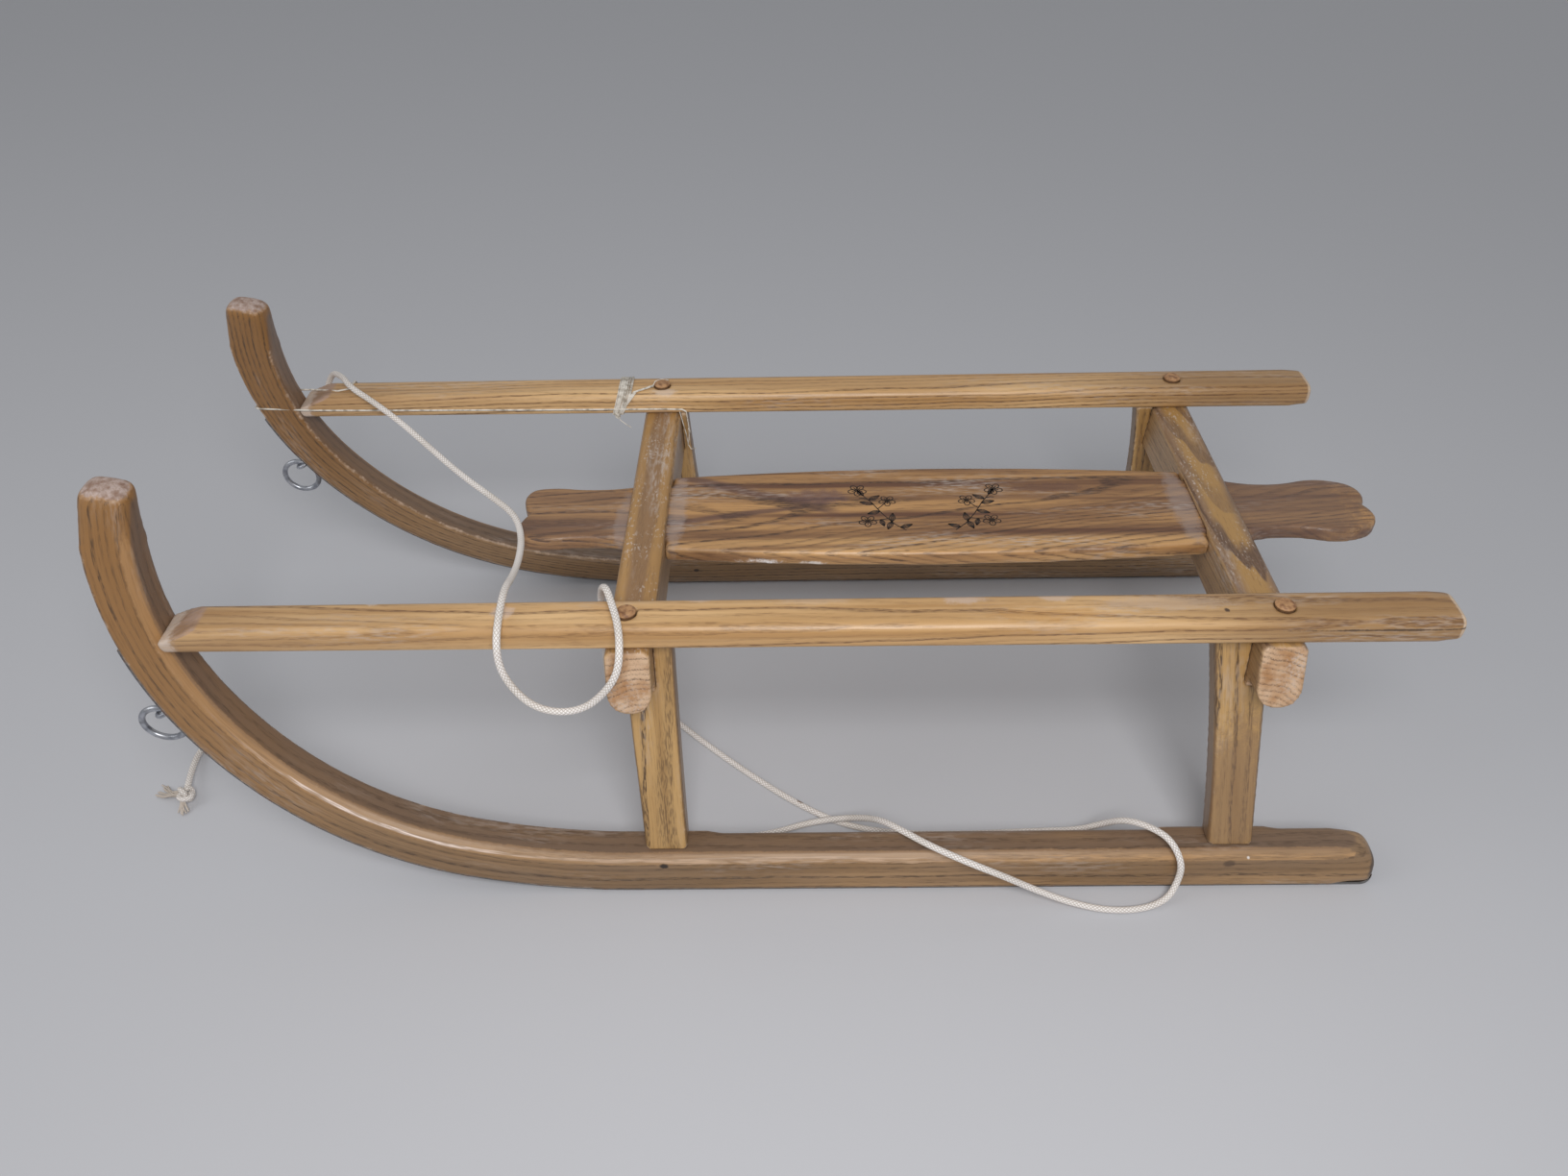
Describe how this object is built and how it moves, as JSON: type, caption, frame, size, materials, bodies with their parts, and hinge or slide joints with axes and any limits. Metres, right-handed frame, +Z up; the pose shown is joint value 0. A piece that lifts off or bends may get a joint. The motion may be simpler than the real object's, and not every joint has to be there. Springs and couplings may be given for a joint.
{
  "type": "wooden horned sledge",
  "caption": "Child's bentwood sledge: runners curving up to horns, splayed legs, crossbars, hand rails, a waisted seat board, tow rings and a loose pull rope.",
  "frame": {"origin": "on the floor, under the middle of the sledge's length and width (the loose rope left out)", "axes": "+X forward to the horns, +Y to the rider's left, +Z up"},
  "size_m": [1.0608, 0.4591, 0.3741],
  "materials": {
    "runner_ash": "varnished ash, worn pale along the edges, dark open grain",
    "leg_ash": "varnished ash",
    "crossbar_ash": "varnished ash, worn brown on top",
    "rail_ash": "varnished ash, hand-worn on top",
    "board_ash": "varnished flat-sawn ash, worn and dulled",
    "dowel_wood": "end grain under varnish",
    "zinc_steel": "bright zinc-plated wire",
    "sole_steel": "worn bare strip steel",
    "cotton_cord": "braided off-white cotton"
  },
  "bodies": {
    "sledge": {"crossbar_front": "crossbar_ash", "crossbar_rear": "crossbar_ash", "dowel_front_left": "dowel_wood", "dowel_front_right": "dowel_wood", "dowel_rear_left": "dowel_wood", "dowel_rear_right": "dowel_wood", "eye_left": "zinc_steel", "eye_right": "zinc_steel", "leg_front_left": "leg_ash", "leg_front_right": "leg_ash", "leg_rear_left": "leg_ash", "leg_rear_right": "leg_ash", "rail_left": "rail_ash", "rail_right": "rail_ash", "rope": "cotton_cord", "rope_hitch": "cotton_cord", "rope_knot": "cotton_cord", "runner_left": "runner_ash", "runner_right": "runner_ash", "seat_board": "board_ash", "sole_left": "sole_steel", "sole_right": "sole_steel"},
    "ring_left": {"ring_left": "zinc_steel"},
    "ring_right": {"ring_right": "zinc_steel"}
  },
  "joints": [
    {"name": "ring_swing_left", "type": "hinge", "parent": "sledge", "child": "ring_left", "pos_m": [0.4834, 0.17007, 0.17631], "axis": [0, -1, 0], "range_deg": [0, 120]},
    {"name": "ring_swing_right", "type": "hinge", "parent": "sledge", "child": "ring_right", "pos_m": [0.4834, -0.17007, 0.17631], "axis": [0, -1, 0], "range_deg": [0, 120]}
  ]
}
